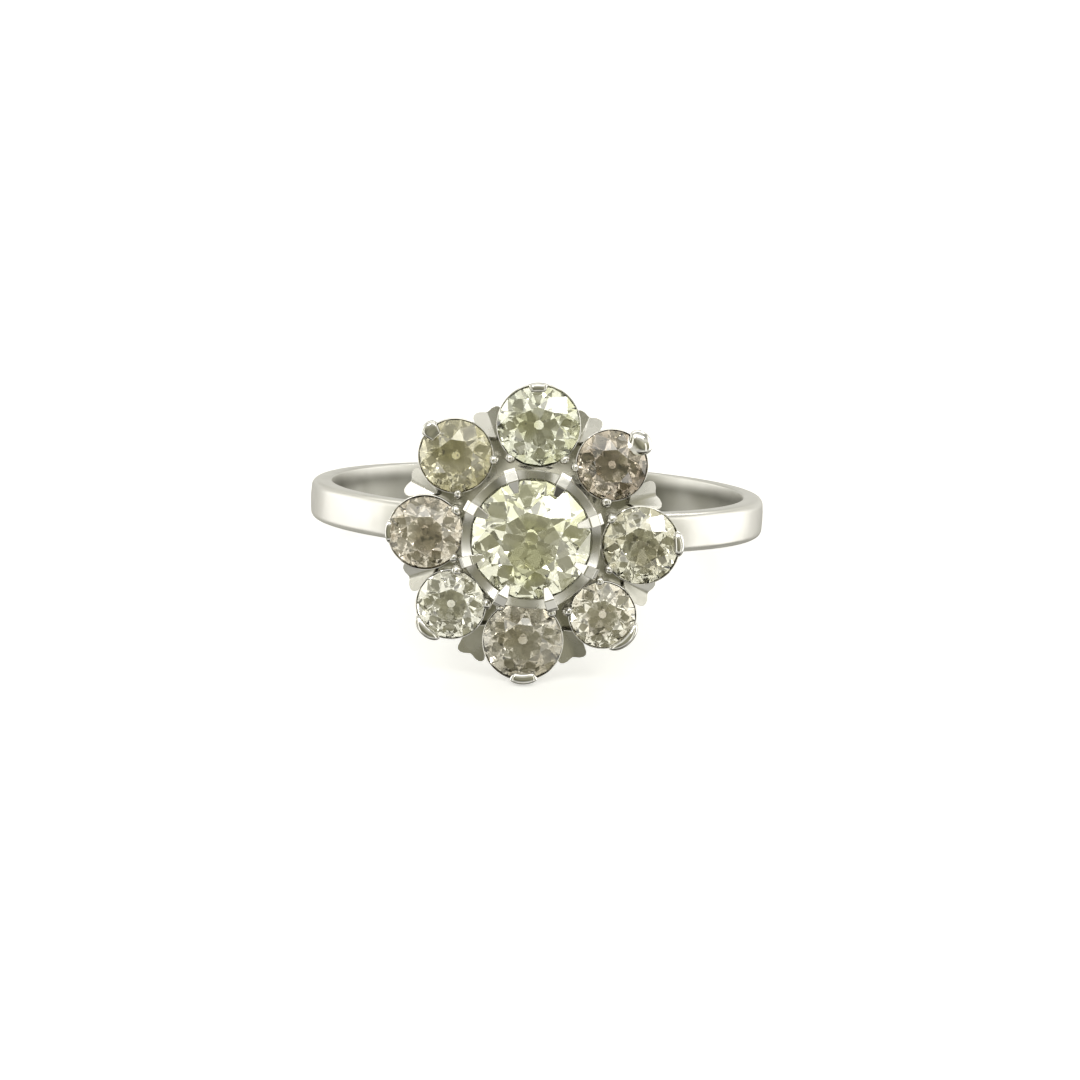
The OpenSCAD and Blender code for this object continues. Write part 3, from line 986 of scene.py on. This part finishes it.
class Gap:
    """The gap between two neighbouring outer stones, as seen along its own middle line."""

    def __init__(self, first, second):
        between_them = (first.place - second.place) % TAU
        self.sides = ((first, 1), (second, -1))
        self.turn = first.place - between_them / 2
        self.waist = (first.reach + second.reach) / 2 * math.cos(between_them / 2)
        self.girdle_z = (first.z + second.z) / 2

    def matrix(self):
        return HEAD @ Matrix.Rotation(self.turn, 4, "Z")

    def wall(self, stone, along):
        """How far from the middle line the stone's cup wall lies, at a distance along that line."""
        x = stone.reach * math.cos(stone.place - self.turn)
        y = abs(stone.reach * math.sin(stone.place - self.turn))
        wall_r = stone.r + cup_lip - wall_seam
        return y - math.sqrt(max(0.0, wall_r ** 2 - (along - x) ** 2))


gaps = [Gap(first, second) for first, second in zip(outer, outer[1:] + outer[:1])]
for gap in gaps:
    width = sum(gap.wall(stone, gap.waist) for stone, side in gap.sides)
    print(f"gap at {math.degrees(gap.turn):.0f} degrees: {width:.2f} mm between the walls at its waist")

# %% [markdown]
# ## Fishtail ribs
#
# Between two cups stands a rib that opens like a fish's tail at the edge of the flower. It holds the cups
# apart and fills the gap with bright metal. A goldsmith files it to fit between its two cups, so its sides
# are hollow: they follow the two round walls. Its end has two lobes with a notch between them. One rib
# copied eight times would stand off some walls and cut into others, because no two stones are the same
# size, so each outline is worked out from the two stones beside it.

# %% Outline of a fishtail
tail_from = 0.12
tail_to = 1.08
tail_steps = 6
tail_notch = 1.24
lobe_v = 0.6
tail_least = 0.07
# A lobe at the open end: distance along the gap, share of the lobe's width
LOBE = [(1.2, 1.0), (1.31, 0.9), (1.36, 0.7), (1.34, 0.42), (1.27, 0.16)]


def tail_outline(gap, further):
    """A fishtail from above: inner tip, hollow side, lobe, notch, lobe, hollow side."""
    sides = []
    for stone, side in gap.sides:
        walk = [tail_from + (tail_to - tail_from) * k / tail_steps for k in range(1, tail_steps + 1)]
        edge = [(s, side * min(lobe_v, max(tail_least, gap.wall(stone, gap.waist + s)))) for s in walk]
        edge += [(s + further, side * lobe_v * share) for s, share in LOBE]
        sides.append(edge)
    left, right = sides
    return [(tail_from, 0.0)] + left + [(tail_notch + further, 0.0)] + list(reversed(right))


print("corners of a fishtail's outline:", len(tail_outline(gaps[0], 0.0)))

# %% [markdown]
# The rib's top is cut in two flat leaves that meet in a groove, and both slope outwards. Below them the
# outline is lofted down to the gallery ring at shrinking sizes, leaning inwards. The table states how each
# tail of the real ring differs: some reach further out, and the low ones are filed almost flat.

# %% How the fishtails rise and differ
# Columns: share of the rise, share of the lean, share of the size
RISE = [(0, 0, 0.3), (0.45, 0.2, 0.5), (0.8, 0.72, 0.86), (1, 1, 1)]
# Each tail, clockwise from the upper left one: how much further out it was filed, shares of groove and fall
TAILS = [
    (-0.04, 1.5, 0.7), (0.0, 1.5, 0.7), (0, 0.8, 1), (-0.05, 0.8, 1),
    (0.04, 0.35, 0.1), (0.2, 0.35, 0.1), (0, 0.8, 1), (0.04, 0.8, 1),
]
longest = max(range(len(TAILS)), key=lambda i: TAILS[i][0])
print(f"the fishtail that reaches furthest out is number {longest + 1}")

# %% Fishtail ribs
rib_drop = 0.1
rib_groove = 0.19
rib_fall = 0.22
rib_start = gallery_r - gallery_t * 0.16
rib_low = gallery_top - gallery_h / 2
# The point along the gap that the outline shrinks towards
tail_heart = 0.7
# The share of the rise from where the top folds into its leaves
leaf_from = 0.7


def rib(gap, further, groove, fall):
    """One rib, from its foot in the gallery ring to its two leaves."""
    high = gap.girdle_z - rib_drop
    outline = tail_outline(gap, further)
    loops = []
    for rise, lean_share, share in RISE:
        at = rib_start + (gap.waist + tail_heart - rib_start) * lean_share
        level = rib_low + (high - rib_low) * rise
        loop = []
        for s, v in outline:
            fold = rib_groove * groove * abs(v) / lobe_v - rib_fall * fall * (s - tail_from)
            fold *= max(0.0, rise - leaf_from) / (1 - leaf_from)
            loop.append((at + (s - tail_heart) * share, v * share, level + fold))
        loops.append(loop)
    bm = bmesh.new()
    rows = join_loops(bm, loops)
    bm.faces.new(list(reversed(rows[0])))
    top = rows[-1]
    notch = len(outline) // 2
    bm.faces.new(top[:notch + 1])
    bm.faces.new(top[notch:] + [top[0]])
    return bm


for i, (gap, shape) in enumerate(zip(gaps, TAILS), start=1):
    metal_piece(f"fishtail_{i}", rib(gap, *shape), gap.matrix(), edge=0.045, finish="soft cut metal")
tell("fishtail ribs", "fishtail_")

# %% [markdown]
# ## Webs in the gaps
#
# Seen from the front there is no daylight between the stones: a little web of metal closes each corner
# between the collet and two cups. It lies below the stones and is darkened by the painted shade deep in the
# flower, so it is hardly noticed, but without it the flower falls apart into nine separate stones. One plate
# under all the stones would be simpler to make, but it would close the open back of the head. So each
# corner gets its own small plate, whose sides follow the two cups as the rib's do.

# %% Webs
web_drop = 0.42
web_t = 0.3
web_overlap = 0.1
web_least = 0.05
web_steps = 9


def web(gap):
    """A flat plate in the corner between the collet and the two cups of a gap."""
    high = gap.girdle_z - web_drop
    inner_end = collet_r(high) - web_overlap
    outer_end = gap.waist + tail_from + 2 * web_overlap
    walk = [inner_end + (outer_end - inner_end) * k / web_steps for k in range(web_steps + 1)]
    left, right = [
        [(r, side * max(web_least, gap.wall(stone, r) + web_overlap)) for r in walk]
        for stone, side in gap.sides
    ]
    outline = left + list(reversed(right))
    return filed([[(r, v, z) for r, v in outline] for z in (high - web_t, high)])


for i, gap in enumerate(gaps, start=1):
    metal_piece(f"web_{i}", web(gap), gap.matrix(), edge=0.03, finish="soft cut metal")
tell("webs", "web_")

# %% [markdown]
# ## The stones
#
# The stones keep the shapes of the frame: flat facets, a small table and an open culet, as old cutters made
# them. Their looks come from light bent inside them. Diamond bends light far more than window glass, at
# an index of 2.42, and that number alone turns the facets into a patchwork of light and dark. These are
# not fine white stones: each has its own tint, from champagne to grey, with clouds and specks inside. The
# tint is the colour that passes, and clouds and specks darken it in noise.

# %% Stone tints
DIAMOND_IOR = 2.417
SPECK = (0.07, 0.06, 0.04, 1)
# clear: colour that passes; cloud: colour of its clouds, and clouded their share; specks: from where the
# noise turns to specks; uneven: how wavy the old facets are; haze: share of light scattered inside;
# zone: a darker zone, placed across and up from the middle with its radius; seed: shifts the pattern
GEMS = {
    "centre_stone": dict(
        clear=(0.975, 0.975, 0.82), cloud=(0.88, 0.89, 0.62), clouded=0.2, specks=0.9, uneven=0.10, haze=0,
        zone=(-0.1, -0.9, 1.2), zone_colour=(0.82, 0.84, 0.40), seed=1.0),
    "stone_top": dict(
        clear=(0.89, 0.90, 0.76), cloud=(0.60, 0.63, 0.42), clouded=0.7, specks=0.70, uneven=0.14, haze=0,
        zone=(-0.5, 0.1, 0.7), zone_colour=(0.56, 0.56, 0.27), seed=2.3),
    "stone_upper_right": dict(
        clear=(0.82, 0.73, 0.60), cloud=(0.24, 0.18, 0.13), clouded=0.8, specks=0.58, uneven=0.24, haze=0,
        zone=(-0.4, 0.2, 1.0), zone_colour=(0.14, 0.10, 0.07), seed=3.1),
    "stone_right": dict(
        clear=(0.85, 0.835, 0.70), cloud=(0.40, 0.37, 0.25), clouded=0.6, specks=0.64, uneven=0.16, haze=0,
        zone=(0.4, -0.4, 0.9), zone_colour=(0.40, 0.36, 0.22), seed=4.7),
    "stone_lower_right": dict(
        clear=(0.96, 0.93, 0.82), cloud=(0.62, 0.58, 0.47), clouded=0.5, specks=0.68, uneven=0.16, haze=0,
        zone=(-0.2, -0.3, 0.8), zone_colour=(0.60, 0.53, 0.42), seed=5.2),
    "stone_bottom": dict(
        clear=(0.72, 0.68, 0.58), cloud=(0.36, 0.33, 0.26), clouded=0.6, specks=0.66, uneven=0.14, haze=0.06,
        zone=(-0.5, 0.5, 0.9), zone_colour=(0.40, 0.34, 0.22), seed=6.6),
    "stone_lower_left": dict(
        clear=(0.94, 0.93, 0.83), cloud=(0.58, 0.57, 0.49), clouded=0.5, specks=0.68, uneven=0.16, haze=0,
        zone=(0.1, -0.5, 0.8), zone_colour=(0.60, 0.58, 0.48), seed=7.4),
    "stone_left": dict(
        clear=(0.89, 0.83, 0.71), cloud=(0.48, 0.42, 0.33), clouded=0.6, specks=0.64, uneven=0.18, haze=0.06,
        zone=(0.2, -0.2, 0.9), zone_colour=(0.46, 0.38, 0.27), seed=8.9),
    "stone_upper_left": dict(
        clear=(0.81, 0.765, 0.55), cloud=(0.40, 0.35, 0.20), clouded=0.6, specks=0.68, uneven=0.12, haze=0.1,
        zone=(-0.3, 0.4, 0.9), zone_colour=(0.38, 0.35, 0.15), seed=9.5),
}
darkest = min(GEMS, key=lambda node: sum(GEMS[node]["clear"]))
print(f"tints for {len(GEMS)} stones, the darkest is {darkest}")

# %% [markdown]
# Old cutters worked by eye, so their facets are faintly wavy. A soft bump does that: it bends each
# reflection a little and breaks the too regular star that a computed stone would show. The darker zone is
# painted round a point on the stone's table, because only where light enters and leaves does it take up
# the colour.

# %% Stone finishes
CLOUD_SCALE = 900
SPECK_SCALE = 2600
WAVE_SCALE = 1100
WAVE_DEPTH = 0.0001
ZONE_SHARE = 0.85


def gem(held, clear, cloud, clouded, specks, uneven, haze, zone, zone_colour, seed):
    """Writes the finish of one stone and puts it on the stone in the frame."""
    m = Finish("old cut " + held.node)
    where = m.add("Mapping", {"Vector": m.where, "Location": (seed, seed * 0.7, 0)}, "Vector")
    patches = noise(m, where, CLOUD_SCALE, detail=3, roughness=0.6, distortion=0.6)
    veil = mixed(m, ramp(m, patches, 0.62 - 0.2 * clouded, 0.74), (*clear, 1), (*cloud, 1))
    across, up, zone_r = zone
    heart = HEAD @ Vector((held.x + across, held.y + up, held.z + 2 * CROWN_SHARE * held.r))
    away = m.add("VectorMath", {0: m.where, 1: heart}, "Value", operation="DISTANCE")
    in_zone = ramp(m, away, 0.5 * zone_r * MM, zone_r * MM, ZONE_SHARE, 0.0)
    veil = mixed(m, in_zone, veil, (*zone_colour, 1))
    speckled = ramp(m, noise(m, where, SPECK_SCALE), specks, specks + 0.05)
    m.feed("Base Color", mixed(m, speckled, veil, SPECK))
    m.feed("Transmission Weight", 1.0 - haze)
    m.feed("IOR", DIAMOND_IOR)
    m.feed("Roughness", 0.0)
    m.feed("Normal", bump(m, noise(m, where, WAVE_SCALE, detail=1), uneven, WAVE_DEPTH))
    stone = frame["nodes"][held.node]
    stone.data.materials.clear()
    stone.data.materials.append(m.material)


for stone in [centre] + outer:
    gem(stone, **GEMS[stone.node])
print("stones finished:", len(GEMS))

# %% [markdown]
# ## The floor
#
# The ring lies on plain pale paper. Photographers keep the white table itself out of the metal, because it
# would wash out every dark reflection from below. Here the floor does that by its ray visibility: it shows
# to the camera and takes light and shadow, but reflections look past it into the room below. A faint glow
# of its own keeps the paper as pale as in a catalogue.

# %% Floor
PAPER_DARK = (0.93, 0.93, 0.925, 1)
PAPER_PALE = (0.95, 0.95, 0.945, 1)
PAPER_GLOW = (1.0, 1.0, 0.99, 1)


def pale_floor():
    """The paper under the ring, as part of the stage."""
    bm = bmesh.new()
    bmesh.ops.create_grid(bm, x_segments=8, y_segments=8, size=1.5)
    mesh = bpy.data.meshes.new("floor")
    bm.to_mesh(mesh)
    bm.free()
    floor = bpy.data.objects.new("floor", mesh)
    bpy.context.scene.collection.objects.link(floor)
    floor.location.z = cad_box[0][2]
    floor.visible_glossy = False
    floor.visible_shadow = False
    m = Finish("pale paper")
    m.feed("Base Color", mixed(m, noise(m, m.where, 300, detail=3), PAPER_DARK, PAPER_PALE))
    m.feed("Roughness", 0.9)
    m.feed("Specular IOR Level", 0.2)
    m.feed("Emission Color", PAPER_GLOW)
    m.feed("Emission Strength", 0.35)
    mesh.materials.append(m.material)
    floor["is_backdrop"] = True
    return floor


floor = pale_floor()
print(f"floor: {floor.location.z / MM:.2f} mm from the middle of the finger hole")

# %% [markdown]
# ## Soft light
#
# Jewellery is photographed between soft boxes. A large one overhead gives the broad clean reflections, two
# upright strips in front draw a bright line on every rounded edge, and boxes at the sides and behind light
# the rest. Three small hard lamps make the stones sparkle. Each is an area light that faces the ring, and
# its power grows with its size, so that the table can give plain brightness.

# %% Soft boxes and lamps
BOX_AWAY = 0.35
BOX_COLOUR = (1.0, 0.99, 0.96)
# Columns: name, degrees to the right of the front, degrees up, width and height in degrees, brightness
BOXES = [
    ("overhead_box", 0, 56, 66, 30, 0.88),
    ("overhead_core", 6, 58, 20, 12, 1.15),
    ("front_left_strip", -37, 0, 14, 44, 0.92),
    ("front_right_strip", 37, 0, 14, 44, 0.92),
    ("left_box", -104, 2, 60, 60, 0.84),
    ("right_box", 104, 2, 60, 60, 0.90),
    ("back_box", 180, 50, 70, 34, 0.95),
    ("low_left_lamp", -22, 34, 7, 7, 7.0),
    ("high_right_lamp", 58, 48, 7, 7, 7.0),
    ("back_lamp", 150, 40, 8, 8, 6.0),
]


def soft_box(name, azimuth, elevation, width, height, brightness):
    """One light, at a direction and of a size in degrees as seen from the ring."""
    a, e = math.radians(azimuth), math.radians(elevation)
    place = Vector((math.sin(a) * math.cos(e), -math.cos(a) * math.cos(e), math.sin(e))) * BOX_AWAY
    light = bpy.data.lights.new(name, "AREA")
    light.shape = "RECTANGLE"
    light.size = 2 * BOX_AWAY * math.tan(math.radians(width / 2))
    light.size_y = 2 * BOX_AWAY * math.tan(math.radians(height / 2))
    light.energy = brightness * math.pi * light.size * light.size_y
    light.color = BOX_COLOUR
    box = bpy.data.objects.new(name, light)
    bpy.context.scene.collection.objects.link(box)
    box.location = place
    box.rotation_euler = (-place).to_track_quat("-Z", "Y").to_euler()
    return box


lights = [soft_box(*row) for row in BOXES]
print(f"lights: {len(lights)}, {sum(box.data.energy for box in lights):.2f} W in all")

# %% [markdown]
# ## The room
#
# What the boxes leave free is mirrored too, and metal and diamonds look flat without something dark in it.
# So the room is a dim olive in front, with one pale card low down. It is lighter behind, which is mirrored
# wherever the metal is seen at a flat angle. An image of a studio could do the same. Two colour ramps over
# the height are plainer and can be changed by a number.

# %% Colours of the room
# Columns: height of the direction, from 0 straight down to 1 straight up, and the colour there
ROOM_BEHIND = [
    (0.0, (0.42, 0.415, 0.37)),
    (0.30, (0.50, 0.49, 0.44)),
    (0.39, (0.72, 0.71, 0.65)),
    (0.48, (0.90, 0.89, 0.83)),
    (0.60, (0.68, 0.67, 0.60)),
    (0.80, (0.58, 0.57, 0.50)),
    (1.0, (0.60, 0.60, 0.54)),
]
ROOM_IN_FRONT = [
    (0.0, (0.05, 0.047, 0.032)),
    (0.15, (0.04, 0.037, 0.025)),
    (0.24, (0.72, 0.71, 0.65)),
    (0.32, (0.66, 0.65, 0.59)),
    (0.40, (0.225, 0.22, 0.155)),
    (0.60, (0.28, 0.27, 0.19)),
    (0.68, (0.38, 0.37, 0.275)),
    (0.76, (0.60, 0.59, 0.52)),
    (1.0, (0.58, 0.58, 0.52)),
]


def colour_ramp(m, height, table):
    """A colour for each height, from the rows of a table."""
    node = m.tree.nodes.new("ShaderNodeValToRGB")
    stops = node.color_ramp.elements
    for at, colour in table[1:-1]:
        stops.new(at).color = (*colour, 1)
    stops[0].color = (*table[0][1], 1)
    stops[-1].color = (*table[-1][1], 1)
    m.put(node.inputs["Fac"], height)
    return node.outputs["Color"]


print("colours of the room:", len(ROOM_BEHIND), "behind and", len(ROOM_IN_FRONT), "in front")

# %% Dim room
FRONT_EDGE, BACK_EDGE = -0.35, 0.05
PATCH_SCALE = 2.2
PATCH_LEAST, PATCH_MOST = 0.6, 1.3


def dim_room():
    """The world: two colour ramps, mixed from front to back, with soft patches in their brightness."""
    world = bpy.data.worlds.new("dim room")
    bpy.context.scene.world = world
    world.use_nodes = True
    m = Nodes(world.node_tree)
    towards = m.add("TexCoord", {}, "Generated")
    axes = m.tree.nodes.new("ShaderNodeSeparateXYZ")
    m.put(axes.inputs["Vector"], towards)
    height = ramp(m, axes.outputs["Z"], -1, 1, kind="LINEAR")
    share = ramp(m, axes.outputs["Y"], FRONT_EDGE, BACK_EDGE, kind="LINEAR")
    colour = mixed(m, share, colour_ramp(m, height, ROOM_IN_FRONT), colour_ramp(m, height, ROOM_BEHIND))
    uneven = noise(m, towards, PATCH_SCALE)
    strength = ramp(m, uneven, 0.35, 0.65, PATCH_LEAST, PATCH_MOST, kind="LINEAR")
    background = m.tree.nodes["Background"]
    m.put(background.inputs["Color"], colour)
    m.put(background.inputs["Strength"], strength)
    print("room:", len(m.tree.nodes), "nodes")


dim_room()

# %% [markdown]
# ## The camera
#
# The camera looks down at the ring from the front, at about 22 degrees, with a long lens, as a
# photographer does to keep a small thing free of distortion. It could be aimed at an empty with a
# constraint. Three turns away from the head's own face and two small shifts say the same in plain
# numbers.

# %% Camera
CAMERA_UP = math.radians(7.009)
CAMERA_YAW = math.radians(-0.724)
CAMERA_ROLL = math.radians(-2.604)
CAMERA_AWAY = 200.0
CAMERA_SHIFT = (-0.1339, 1.4468)
LENS = 158.52
SENSOR = 36


def camera():
    """The camera, placed by the turn of its view, its distance from the ring's middle and two shifts."""
    looks = (
        Matrix.Rotation(CAMERA_ROLL, 3, "Z")
        @ Matrix.Rotation(CAMERA_UP, 3, "X")
        @ Matrix.Rotation(CAMERA_YAW, 3, "Y")
    )
    turn = Matrix.Rotation(-lean, 3, "X") @ FACE_ON.to_3x3() @ looks.transposed()
    place = turn @ Vector((-CAMERA_SHIFT[0], -CAMERA_SHIFT[1], CAMERA_AWAY)) * MM
    data = bpy.data.cameras.new("camera")
    data.lens = LENS
    data.sensor_width = SENSOR
    data.clip_start = 0.01
    eye = bpy.data.objects.new("camera", data)
    bpy.context.scene.collection.objects.link(eye)
    eye.matrix_world = Matrix.Translation(place) @ turn.to_4x4()
    bpy.context.scene.camera = eye
    return eye


eye = camera()
print(f"camera {1000 * eye.location.z:.0f} mm above the bore, {1000 * eye.location.length:.0f} mm away")

# %% [markdown]
# Light in a diamond bounces many times before it leaves, so the path length is raised, and the picture is
# shown without a film look, as a catalogue picture is.

# %% Picture settings
scene = bpy.context.scene
scene.cycles.max_bounces = 24
scene.cycles.transmission_bounces = 20
scene.cycles.glossy_bounces = 8
scene.view_settings.view_transform = "Standard"
print(f"bounces of light: {scene.cycles.max_bounces}, or {scene.cycles.transmission_bounces} through a stone")

# %% [markdown]
# ## Sizes
#
# At the end the dressed ring is measured, as the frame was at the start, since a better looking piece
# mustn't make the ring any larger. Both boxes are printed, with the number of metal pieces.

# %% Both boxes
sizes = {"cad": [list(c) for c in cad_box], "visual": [list(c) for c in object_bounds()]}
for word, (low, high) in sizes.items():
    print(word, "box in mm:", [round((b - a) / MM, 2) for a, b in zip(low, high)])
print("metal pieces:", len(metal))
